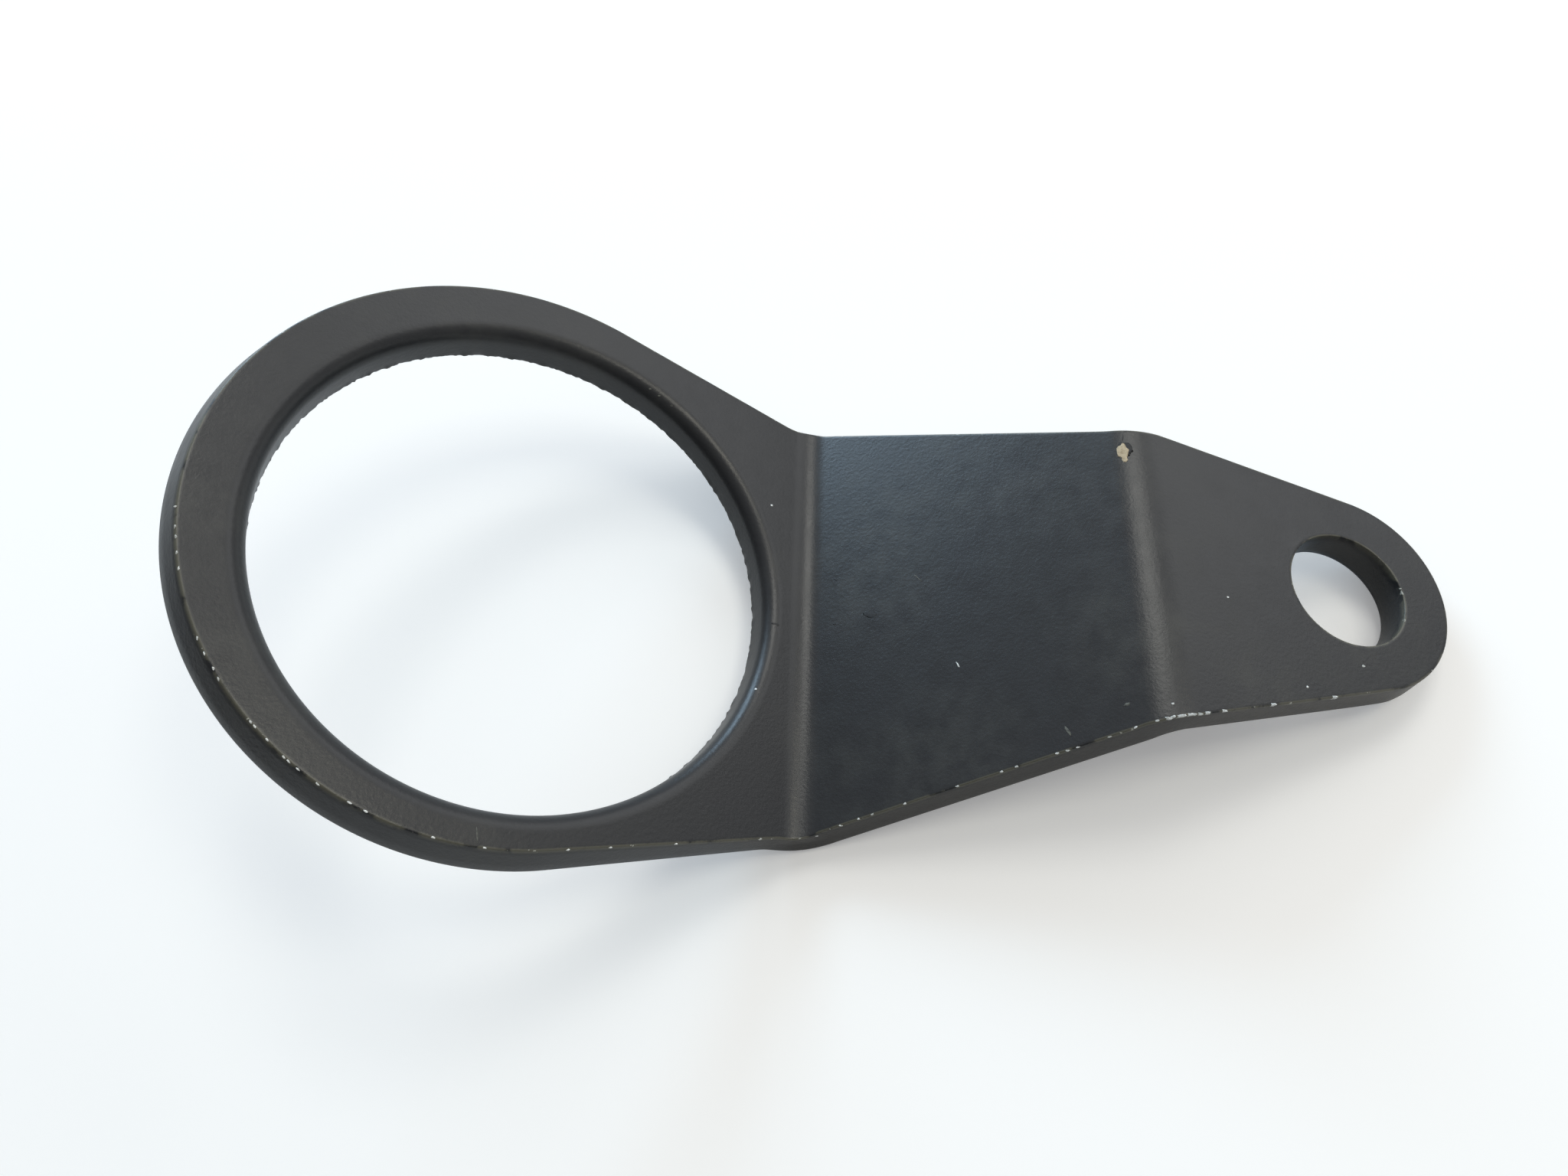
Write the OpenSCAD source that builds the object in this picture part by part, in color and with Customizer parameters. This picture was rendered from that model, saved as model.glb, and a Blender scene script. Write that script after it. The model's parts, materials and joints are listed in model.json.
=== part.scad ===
// Instrument bracket: one steel plate, blanked as a long teardrop, pierced twice and folded twice.
// The plate lies as it comes to rest, on the back of its first fold and on the tip of its tab.
// The origin is on the axis of the instrument bore, halfway up its straight wall.

/* [Plate] */
// Thickness of the steel plate
plate_t = 4; // [3:0.5:5]

/* [Ring] */
// Radius of the bore that holds the instrument
bore_r = 26; // [22:0.5:27]
// Radius of the ring's outer edge, at the upper face
ring_r = 30.65; // [30.15:0.25:33.15]
// Distance that the ring's outline is centred beyond the bore, away from the tab
ring_back = 1.2; // [1.2:0.2:2]
// Distance that the ring's outline is centred to the left of the bore
ring_side = 1.1; // [0:0.1:1.5]

/* [Folds] */
// Bore axis to the first fold, measured to the crease of the upper face
fold_x = 30.8; // [30:0.2:36]
// Rise of the web from the ring, for a run of 3
web_up = 4; // [3:0.5:5]
// Length of the web between the creases of its upper face
web_len = 37.5; // [30:0.5:45]
// Fall of the tab from the web, for a run of 4
tab_down = 3; // [2:0.5:3.5]
// Inside radius of both folds
fold_r = 4; // [3:0.5:6]
// Bore axis to the left end of the first fold
neck_left = 25.2; // [24:0.1:26]
// Bore axis to the right end of the first fold
neck_right = 24; // [23:0.1:25]
// Distance from the middle line to each end of the second fold
shoulder = 16; // [14:0.1:18]

/* [Tab] */
// Second crease to the centre of the tab hole
tab_len = 21.3; // [18:0.1:30]
// Radius of the tab's round end, at the upper face
tab_r = 11; // [9.5:0.5:13]
// Radius of the tab hole
tab_hole_r = 6.25; // [4:0.25:7]

/* [Edges] */
// Radius of the pressed-in rim round the top of the instrument bore
bore_roll = 1.8; // [1:0.1:2.5]
// Distance that the ring's sheared wall leans out below its sharp upper edge
ring_lean = 1.2; // [0.6:0.1:1.5]
// Distance that all other walls of the outline lean out
wall_lean = 0.3; // [0.1:0.1:0.6]
// Radius of the rounded lower edge of the outline
edge_roll = 1; // [0.5:0.1:1.5]

/* [Hidden] */
$fn = 180;
paint = "#26282c";

// Overlap of a cutter past the face that it opens
past = 1;
// Arcs and flanks stand this far off their tangent, so they cross a face instead of grazing it
graze = 0.03;
// Spare width outside the outline, cut away again by its edge section
band = 4;

// Angles of the two folds, and of the tab to the ring
web_rise = atan2(web_up, 3);
turn_back = atan2(tab_down, 4);
tab_rise = web_rise - turn_back;

// Lengths taken up by the folds on the upper face
fold_in = fold_r * tan(web_rise / 2);
fold_out = (fold_r + plate_t) * tan(turn_back / 2);

// Beside each fold the flanks run level for this length
level = 0.5;

// Flat stretches of the plate between the folds
neck_flat = fold_x - fold_in + ring_back;
web_flat = web_len - fold_in - fold_out;
tab_flat = tab_len - fold_out;
neck_fall = neck_flat - level;
web_fall = web_flat - 2 * level;
tab_fall = tab_flat - level;

// Fall of a flank that passes at x, y and ends on a circle of radius r: ahead is 1 if that lies ahead
function tangent_fall(x, y, r, ahead) = atan2(x, y) + ahead * acos(r / norm([x, y]));

// For each panel, the fall of its left flank and of its right flank
ring_falls = [
    tangent_fall(neck_fall, neck_left - ring_side, ring_r, -1),
    tangent_fall(neck_fall, neck_right + ring_side, ring_r, -1)
];
web_falls = [
    atan((neck_left - shoulder) / web_fall),
    atan((neck_right - shoulder) / web_fall)
];
tab_slope = tangent_fall(-tab_fall, shoulder, tab_r, 1);

// Side view, as points in X and Z with the ring flat on Z = 0
fold_1 = [fold_x - fold_in, plate_t + fold_r];
web_start = fold_1 + fold_r * [sin(web_rise), -cos(web_rise)];
web_end = web_start + web_flat * [cos(web_rise), sin(web_rise)];
fold_2 = web_end - (fold_r + plate_t) * [-sin(web_rise), cos(web_rise)];
tab_start = fold_2 + (fold_r + plate_t) * [-sin(tab_rise), cos(tab_rise)];

// The straight wall of the instrument bore ends where its rolled rim starts
roll_z = plate_t - bore_roll + graze;

// The tip touches the floor at the rounded lower edge of the tab's end
tip_run = tab_flat + tab_r + wall_lean - edge_roll;
tip_drop = plate_t - edge_roll;
tip = tab_start + tip_run * [cos(tab_rise), sin(tab_rise)] + tip_drop * [sin(tab_rise), -cos(tab_rise)];
rest_span = tip - fold_1;
rest_tilt = atan2(rest_span[1], rest_span[0]) + asin((fold_r + plate_t - edge_roll) / norm(rest_span));

// What an edge leaves away: X runs outwards from the sharp upper edge, Y up from the lower face
module outside_section(lean) {
    clear = ring_r;
    slope = lean / (plate_t - edge_roll);
    foot_x = lean - edge_roll;
    difference() {
        polygon([
            [-slope * past, plate_t + past],
            [lean, edge_roll],
            [foot_x, edge_roll],
            [foot_x, -past],
            [clear, -past],
            [clear, plate_t + past]
        ]);
        translate([foot_x, edge_roll - graze])
            circle(r = edge_roll);
    }
}

// Cutter that leaves a level edge at the given distance across, its waste towards +Y
module level_cut(across, length) {
    translate([-band, across, 0])
        rotate([90, 0, 90])
            linear_extrude(height = length + 2 * band)
                outside_section(wall_lean);
}

// Cutter that leaves a falling edge from the given distance across
module falling_cut(across, fall, length) {
    translate([0, across, 0])
        rotate([0, 0, -fall])
            level_cut(0, length);
}

// Disc with its edge section round it
module disc(r, lean) {
    rotate_extrude()
        difference() {
            square([r + band, plate_t]);
            translate([r, 0])
                outside_section(lean);
        }
}

// Flat panel between two folds, its flanks level beside each of them
module web_panel() {
    difference() {
        translate([0, -neck_right - band / 2, 0])
            cube([web_flat, neck_left + neck_right + band, plate_t]);
        for (edge = [[0, neck_left, web_falls[0]], [1, neck_right, web_falls[1]]])
            mirror([0, edge[0], 0]) {
                level_cut(edge[1], web_flat);
                intersection() {
                    falling_cut(edge[1] + level * tan(edge[2]), edge[2], web_flat);
                    level_cut(shoulder, web_flat);
                }
            }
    }
}

// Section of a fold, set out from its axis, with its sharp edges on the upper face
module fold_section(left, right, hollow_top) {
    upper_r = hollow_top ? fold_r : fold_r + plate_t;
    away = hollow_top ? 1 : -1;
    difference() {
        translate([fold_r, -left - band / 2])
            square([plate_t, left + right + band]);
        for (edge = [[-1, left], [1, right]])
            multmatrix([
                [0, -away, 0, upper_r + away * plate_t],
                [edge[0], 0, 0, edge[0] * edge[1]],
                [0, 0, 1, 0],
                [0, 0, 0, 1]
            ])
                outside_section(wall_lean);
    }
}

// Fold about the Y axis, between the end planes of the panels on either side
module fold(left, right, turn, hollow_top) {
    reach = 2 * (fold_r + plate_t);
    intersection() {
        rotate([90, 0, 0])
            rotate_extrude()
                fold_section(left, right, hollow_top);
        translate([0, -2 * ring_r, -reach])
            cube([reach, 4 * ring_r, 2 * reach]);
        rotate([0, hollow_top ? -turn : turn, 0])
            translate([-reach, -2 * ring_r, -reach])
                cube([reach, 4 * ring_r, 2 * reach]);
    }
}

// Ring end, with the wedge of plate that narrows towards the first fold
module ring_plate() {
    outer = ring_r + band / 2;
    left = neck_left - ring_side;
    right = neck_right + ring_side;
    translate([-ring_back, ring_side, 0]) {
        intersection() {
            disc(ring_r, ring_lean);
            translate([-2 * ring_r, -2 * ring_r, -past])
                cube([2 * ring_r + neck_flat - 2 * band, 4 * ring_r, plate_t + 2 * past]);
        }
        difference() {
            linear_extrude(height = plate_t)
                polygon([
                    [0, 0],
                    outer * [sin(ring_falls[1]), -cos(ring_falls[1])],
                    [neck_flat, -right - band / 2],
                    [neck_flat, left + band / 2],
                    outer * [sin(ring_falls[0]), cos(ring_falls[0])]
                ]);
            for (edge = [[0, left, ring_falls[0]], [1, right, ring_falls[1]]])
                mirror([0, edge[0], 0])
                    intersection() {
                        falling_cut((ring_r - graze) / cos(edge[2]), edge[2], neck_flat);
                        level_cut(edge[1], neck_flat);
                    }
        }
    }
}

// Tab, from the second fold to its round end
module tab_plate() {
    end_corner = (tab_r + band / 2) * [sin(tab_slope), cos(tab_slope)];
    difference() {
        linear_extrude(height = plate_t)
            polygon([
                [0, -shoulder - band / 2],
                [tab_flat + end_corner[0], -end_corner[1]],
                [tab_flat, 0],
                [tab_flat + end_corner[0], end_corner[1]],
                [0, shoulder + band / 2]
            ]);
        for (side = [0, 1])
            mirror([0, side, 0]) {
                level_cut(shoulder, tab_flat);
                falling_cut(shoulder + level * tan(tab_slope) - graze, tab_slope, tab_flat + tab_r);
            }
    }
    translate([tab_flat, 0, 0])
        disc(tab_r, wall_lean);
}

// Cutter for the instrument bore, with the rim rolled in round its top
module rolled_bore() {
    rim_r = bore_r + bore_roll;
    rotate_extrude()
        difference() {
            translate([0, -past])
                square([rim_r, plate_t + 2 * past]);
            translate([bore_r, -2 * past])
                square([2 * bore_roll, 2 * past + roll_z]);
            translate([rim_r, roll_z])
                circle(r = bore_roll);
        }
}

// The tab and the second fold, set out from that fold's axis
module folded_tab() {
    fold(shoulder, shoulder, turn_back, false);
    rotate([0, turn_back, 0])
        translate([0, 0, fold_r])
            difference() {
                tab_plate();
                translate([tab_flat, 0, -past])
                    cylinder(h = plate_t + 2 * past, r = tab_hole_r);
            }
}

// The web, the first fold and all beyond them, set out from that fold's axis
module folded_web() {
    fold(neck_left, neck_right, web_rise, true);
    rotate([0, -web_rise, 0]) {
        translate([0, 0, -plate_t - fold_r])
            web_panel();
        translate([web_flat, 0, -plate_t - 2 * fold_r])
            folded_tab();
    }
}

// The folded plate, with the ring flat on Z = 0
module folded_plate() {
    difference() {
        ring_plate();
        rolled_bore();
    }
    translate([fold_1[0], 0, fold_1[1]])
        folded_web();
}

// The bracket as it lies, tipped on to the back of its first fold
module bracket() {
    color(paint)
        rotate([0, rest_tilt, 0])
            translate([0, 0, -roll_z / 2])
                folded_plate();
}

bracket();
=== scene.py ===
"""Instrument bracket: a blanked, pierced, folded and painted steel plate.

The plate is made the way a press makes it. Its outline is swept flat, the
two holes are swept, both faces are filled, the folds are cut into strips,
and the flat blank is bent and tipped on to the ground. Chips and specks in
the paint are thin flakes on its faces and along its sharp edges.
"""
import json
import logging
import math
from dataclasses import dataclass, field
from enum import Enum
from typing import Iterable, List, Sequence, Tuple

import bmesh
import bpy
from mathutils import Matrix, Vector, noise
from mathutils.bvhtree import BVHTree

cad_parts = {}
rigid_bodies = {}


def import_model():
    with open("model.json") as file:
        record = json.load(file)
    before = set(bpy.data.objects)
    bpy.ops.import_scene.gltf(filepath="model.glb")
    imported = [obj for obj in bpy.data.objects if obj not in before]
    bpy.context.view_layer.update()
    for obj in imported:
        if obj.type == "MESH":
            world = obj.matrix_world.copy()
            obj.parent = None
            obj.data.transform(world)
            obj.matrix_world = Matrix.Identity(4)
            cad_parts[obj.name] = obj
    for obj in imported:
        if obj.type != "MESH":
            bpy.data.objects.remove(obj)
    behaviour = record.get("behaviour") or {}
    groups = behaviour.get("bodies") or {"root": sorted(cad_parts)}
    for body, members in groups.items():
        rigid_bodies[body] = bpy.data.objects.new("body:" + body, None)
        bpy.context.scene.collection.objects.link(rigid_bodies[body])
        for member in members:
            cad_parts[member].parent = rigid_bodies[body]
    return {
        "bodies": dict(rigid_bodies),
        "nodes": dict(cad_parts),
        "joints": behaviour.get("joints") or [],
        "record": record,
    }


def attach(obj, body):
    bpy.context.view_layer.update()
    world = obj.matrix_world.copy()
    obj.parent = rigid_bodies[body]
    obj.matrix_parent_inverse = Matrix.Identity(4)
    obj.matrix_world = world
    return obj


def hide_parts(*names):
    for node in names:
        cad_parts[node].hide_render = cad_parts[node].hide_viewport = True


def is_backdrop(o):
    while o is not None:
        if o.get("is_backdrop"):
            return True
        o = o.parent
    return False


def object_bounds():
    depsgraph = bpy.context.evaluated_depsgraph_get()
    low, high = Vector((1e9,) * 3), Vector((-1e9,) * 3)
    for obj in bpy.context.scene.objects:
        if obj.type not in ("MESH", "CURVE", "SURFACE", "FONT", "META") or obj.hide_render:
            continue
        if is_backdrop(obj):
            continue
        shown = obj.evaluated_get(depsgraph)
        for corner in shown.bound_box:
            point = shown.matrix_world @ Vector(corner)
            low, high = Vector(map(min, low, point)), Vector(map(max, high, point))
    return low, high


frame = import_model()

log = logging.getLogger("bracket")

Pair = Tuple[float, float]
Pixel = Pair
Triple = Tuple[float, float, float]
Colour = Tuple[float, float, float, float]

MM = 0.001
SQUARE = math.pi / 2
PHOTO_SIZE = (2048, 1536)

# Vertex attribute that tells the paint where an edge is worn
EDGE_WEAR = "edge_wear"


@dataclass(frozen=True)
class PlateSize:
    """Dimensions of the plate in millimetres, each fold given by its rise or fall for a run."""

    thickness: float = 4.0
    bore_r: float = 26.0
    bore_roll: float = 1.8
    bore_land: float = 2.23
    ring_r: float = 30.85
    ring_back: float = 1.05
    ring_side: float = 1.1
    fold_x: float = 30.8
    web_up: float = 4.0
    web_run: float = 3.0
    web_len: float = 37.5
    tab_down: float = 3.0
    tab_run: float = 4.0
    fold_r: float = 4.0
    tab_len: float = 21.3
    tab_r: float = 11.0
    tab_hole_r: float = 6.25
    ring_lean: float = 1.2
    neck_lean: float = 0.45
    wall_lean: float = 0.3
    edge_roll: float = 1.0
    level: float = 0.5

    @property
    def web_rise(self) -> float:
        """Angle of the first fold, in degrees."""
        return math.degrees(math.atan2(self.web_up, self.web_run))

    @property
    def turn_back(self) -> float:
        """Angle of the second fold, in degrees."""
        return math.degrees(math.atan2(self.tab_down, self.tab_run))

    @property
    def fold_in(self) -> float:
        """Length that the first fold takes off each face line."""
        return self.fold_r * math.tan(math.radians(self.web_rise) / 2)

    @property
    def fold_out(self) -> float:
        """Length that the second fold takes off each face line."""
        return (self.fold_r + self.thickness) * math.tan(math.radians(self.turn_back) / 2)

    @property
    def web_flat(self) -> float:
        """Flat length of the web."""
        return self.web_len - self.fold_in - self.fold_out

    @property
    def tab_flat(self) -> float:
        """Flat length of the tab, up to the centre of its hole."""
        return self.tab_len - self.fold_out


@dataclass(frozen=True)
class FlankSize:
    """Distances from the middle line to one flank, at both ends of each fold."""

    side: float
    neck_ring: float
    neck_web: float
    shoulder_web: float
    shoulder_tab: float


LEFT = FlankSize(side=1.0, neck_ring=25.75, neck_web=25.0, shoulder_web=16.75, shoulder_tab=15.75)
RIGHT = FlankSize(side=-1.0, neck_ring=24.45, neck_web=23.6, shoulder_web=16.55, shoulder_tab=15.4)


@dataclass
class FoldMap:
    """Carries a point of the flat blank to its place on the folded plate."""

    size: PlateSize
    first_zone: float = field(init=False)
    second_zone: float = field(init=False)
    start_1: float = field(init=False)
    start_2: float = field(init=False)

    def __post_init__(self) -> None:
        """Works out where the two fold zones lie on the flat blank."""
        s = self.size
        middle = s.fold_r + s.thickness / 2
        self.first_zone = middle * math.radians(s.web_rise)
        self.second_zone = middle * math.radians(s.turn_back)
        self.start_1 = s.fold_x - s.fold_in
        self.start_2 = self.start_1 + self.first_zone + s.web_flat

    @property
    def tab_centre(self) -> float:
        """Place of the tab hole's centre along the blank."""
        return self.start_2 + self.second_zone + self.size.tab_flat

    def side_view(self, x: float, z: float) -> Pair:
        """Folds a point in the side view.

        Args:
            x: Place along the flat blank.
            z: Height above the blank's lower face.

        Returns:
            Place along and height above the ring's lower face.
        """
        s = self.size
        if x <= self.start_1:
            return x, z
        rise = math.radians(s.web_rise)
        turn = min((x - self.start_1) / self.first_zone, 1.0) * rise
        axis_z = s.thickness + s.fold_r
        px = self.start_1 + (axis_z - z) * math.sin(turn)
        pz = axis_z - (axis_z - z) * math.cos(turn)
        past = x - self.start_1 - self.first_zone
        if past <= 0:
            return px, pz
        run = min(past, s.web_flat)
        px += run * math.cos(rise)
        pz += run * math.sin(rise)
        if past <= s.web_flat:
            return px, pz
        reach = s.fold_r + z
        back = min((past - s.web_flat) / self.second_zone, 1.0) * math.radians(s.turn_back)
        angle = rise - back
        px += reach * (math.sin(rise) - math.sin(angle))
        pz += reach * (math.cos(angle) - math.cos(rise))
        rest = max(0.0, past - s.web_flat - self.second_zone)
        return px + rest * math.cos(angle), pz + rest * math.sin(angle)

    @property
    def rest_tilt(self) -> float:
        """Angle that the plate tips to when it lies on the ground, in radians."""
        s = self.size
        run = s.tab_flat + s.tab_r + s.wall_lean - s.edge_roll
        end = self.start_2 + self.second_zone + run
        tip = Vector(self.side_view(end, s.edge_roll))
        span = tip - Vector((self.start_1, s.thickness + s.fold_r))
        reach = s.fold_r + s.thickness - s.edge_roll
        return math.atan2(span.y, span.x) + math.asin(reach / span.length)

    def rest_matrix(self) -> Matrix:
        """Matrix from the folded plate, in millimetres, to the row frame."""
        sink = Matrix.Translation((0.0, 0.0, -self.size.bore_land / 2))
        return Matrix.Scale(MM, 4) @ Matrix.Rotation(self.rest_tilt, 4, "Y") @ sink

    def fold(self, bm: bmesh.types.BMesh) -> None:
        """Bends every vertex of the blank into place."""
        for vert in bm.verts:
            vert.co.x, vert.co.z = self.side_view(vert.co.x, vert.co.z)


@dataclass(frozen=True)
class EdgeProfile:
    """Section of a sheared edge, as distances out and heights, top first."""

    points: Tuple[Pair, ...]
    corner: Pair

    def wear(self, out: float, z: float, bare: float = 0.08, reach: float = 0.2) -> float:
        """Tells how much a point is worn.

        Args:
            out: How far out the point is.
            z: Its height.
            bare: Distance from the sharp corner that is fully worn.
            reach: Distance past that over which the wear falls away.

        Returns:
            The wear, 1 on the sharp corner and 0 away from it.
        """
        away = math.hypot(out - self.corner[0], z - self.corner[1])
        return max(0.0, 1.0 - max(0.0, away - bare) / reach)

    @staticmethod
    def arc(centre: Pair, r: float, start: float, end: float, steps: int) -> List[Pair]:
        """Sets out points on an arc.

        Args:
            centre: Centre of the arc.
            r: Radius.
            start: First direction, in degrees from the outward one.
            end: Last direction.
            steps: Number of steps between them.

        Returns:
            The points in order.
        """
        found = []
        for step in range(steps + 1):
            a = math.radians(start + (end - start) * step / steps)
            found.append((centre[0] + r * math.cos(a), centre[1] + r * math.sin(a)))
        return found

    @classmethod
    def outline(cls, size: PlateSize, sharp: float = 0.14,
                wall_foot: float = 0.35) -> "EdgeProfile":
        """Outer edge: sharp at the top, upright wall, rounded at the bottom.

        Args:
            size: The plate's sizes.
            sharp: Radius of the upper corner.
            wall_foot: Height above the rounded lower edge where the wall's last point lies.

        Returns:
            The section, out being away from the plate.
        """
        t, roll = size.thickness, size.edge_roll
        face_margin = (0.7, 0.36)
        foot_margin = (0.3, 0.7)
        wall = t - sharp - roll - wall_foot
        points = [(-margin, t) for margin in face_margin]
        points += cls.arc((-sharp, t - sharp), sharp, 90, 8, 3)
        points += [(0.0, t - sharp - wall * part) for part in (0.25, 0.5, 0.75)]
        points += cls.arc((-roll, roll), roll, 4, -90, 7)
        points += [(-roll - margin, 0.0) for margin in foot_margin]
        return cls(tuple(points), (0.0, t))

    @classmethod
    def rolled_bore(cls, size: PlateSize) -> "EdgeProfile":
        """Bore edge: rolled at the top, upright wall, small burr at the bottom.

        Args:
            size: The plate's sizes.

        Returns:
            The section, out being away from the bore's axis.
        """
        t, roll, land = size.thickness, size.bore_roll, size.bore_land
        face_margin = (0.45, 0.2)
        wall = ((0.0, land * 0.7), (0.0, land * 0.4), (0.0, 0.35), (0.0, 0.16))
        foot = ((0.03, 0.05), (0.12, 0.0), (0.35, 0.0), (0.8, 0.0))
        points = [(roll + margin, t) for margin in face_margin]
        points += cls.arc((roll, land), t - land, 90, 180, 10)
        return cls((*points, *wall, *foot), (0.0, 0.0))

    @classmethod
    def drilled_hole(cls, size: PlateSize, sharp: float = 0.1) -> "EdgeProfile":
        """Tab hole edge: sharp at the top, upright wall, eased at the bottom.

        Args:
            size: The plate's sizes.
            sharp: Width of the broken upper corner.

        Returns:
            The section, out being away from the hole's axis.
        """
        t, eased = size.thickness, 0.3 * sharp
        top = ((0.9, t), (0.35, t), (sharp, t), (eased, t - eased), (0.0, t - sharp))
        wall = ((0.0, 2.8), (0.0, 1.9), (0.0, 1.0))
        foot = ((0.05, 0.4), (0.2, 0.1), (0.4, 0.0), (0.9, 0.0))
        return cls((*top, *wall, *foot), (0.0, t))


@dataclass(frozen=True)
class Station:
    """Frame of a swept section, its X pointing out of the plate."""

    frame: Matrix
    back: Matrix
    lean: float
    size: PlateSize

    @classmethod
    def at(cls, spot: Vector, heading: float, size: PlateSize) -> "Station":
        """Stands a section on the upper edge.

        Args:
            spot: Place along and across the blank, and the lean of the wall.
            heading: Outward direction, in radians from +X.
            size: The plate's sizes.

        Returns:
            The station.
        """
        frame = Matrix.Translation((spot.x, spot.y, 0.0)) @ Matrix.Rotation(heading, 4, "Z")
        return cls(frame, frame.inverted(), spot.z, size)

    def leant(self, z: float) -> float:
        """How far the wall stands out at a height."""
        t = self.size.thickness
        return self.lean * min(1.0, (t - z) / (t - self.size.edge_roll))

    def place(self, out: float, z: float) -> Vector:
        """Point of the blank for a point of the section."""
        return self.frame @ Vector((out + self.leant(z), 0.0, z))

    def section(self, point: Vector) -> Pair:
        """Point of the section for a point of the blank."""
        local = self.back @ point
        return local.x - self.leant(local.z), local.z


@dataclass
class Contour:
    """Closed path of the upper edge, with the wall's lean as its third number.

    A line and an arc have at least the given steps, however short they are.
    """

    size: PlateSize
    spacing: float
    line_steps: int = 3
    arc_steps: int = 8
    spots: List[Vector] = field(default_factory=list)

    def line(self, end: Vector) -> None:
        """Goes straight on to a point, from the last one.

        Args:
            end: Place of the point, and the lean of the wall there.
        """
        start = self.spots[-1]
        steps = max(self.line_steps, round((end - start).to_2d().length / self.spacing))
        self.spots += [start.lerp(end, step / steps) for step in range(1, steps + 1)]

    def arc(self, centre: Vector, r: float, start: float, sweep: float) -> None:
        """Goes round an arc.

        Args:
            centre: Centre of the arc, and the lean of its wall.
            r: Radius.
            start: First direction from the centre, in radians from +X.
            sweep: Angle turned through, in radians.
        """
        steps = max(self.arc_steps, round(abs(sweep) * r / self.spacing))
        for step in range(steps + 1):
            a = start + sweep * step / steps
            self.spots.append(centre + Vector((r * math.cos(a), r * math.sin(a), 0.0)))

    def neighbours(self) -> Iterable[Tuple[Vector, Vector, Vector]]:
        """Every spot of the path between the one before it and the one after."""
        return zip(self.spots[-1:] + self.spots[:-1], self.spots, self.spots[1:] + self.spots[:1])

    def smooth(self, rounds: int = 3) -> None:
        """Eases the corners."""
        for _ in range(rounds):
            self.spots = [(a + 2.0 * b + c) / 4.0 for a, b, c in self.neighbours()]

    def stations(self) -> List[Station]:
        """Sections along the path, each square to it."""
        found = []
        for before, spot, after in self.neighbours():
            way = after - before
            found.append(Station.at(spot, math.atan2(-way.x, way.y), self.size))
        return found


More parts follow.
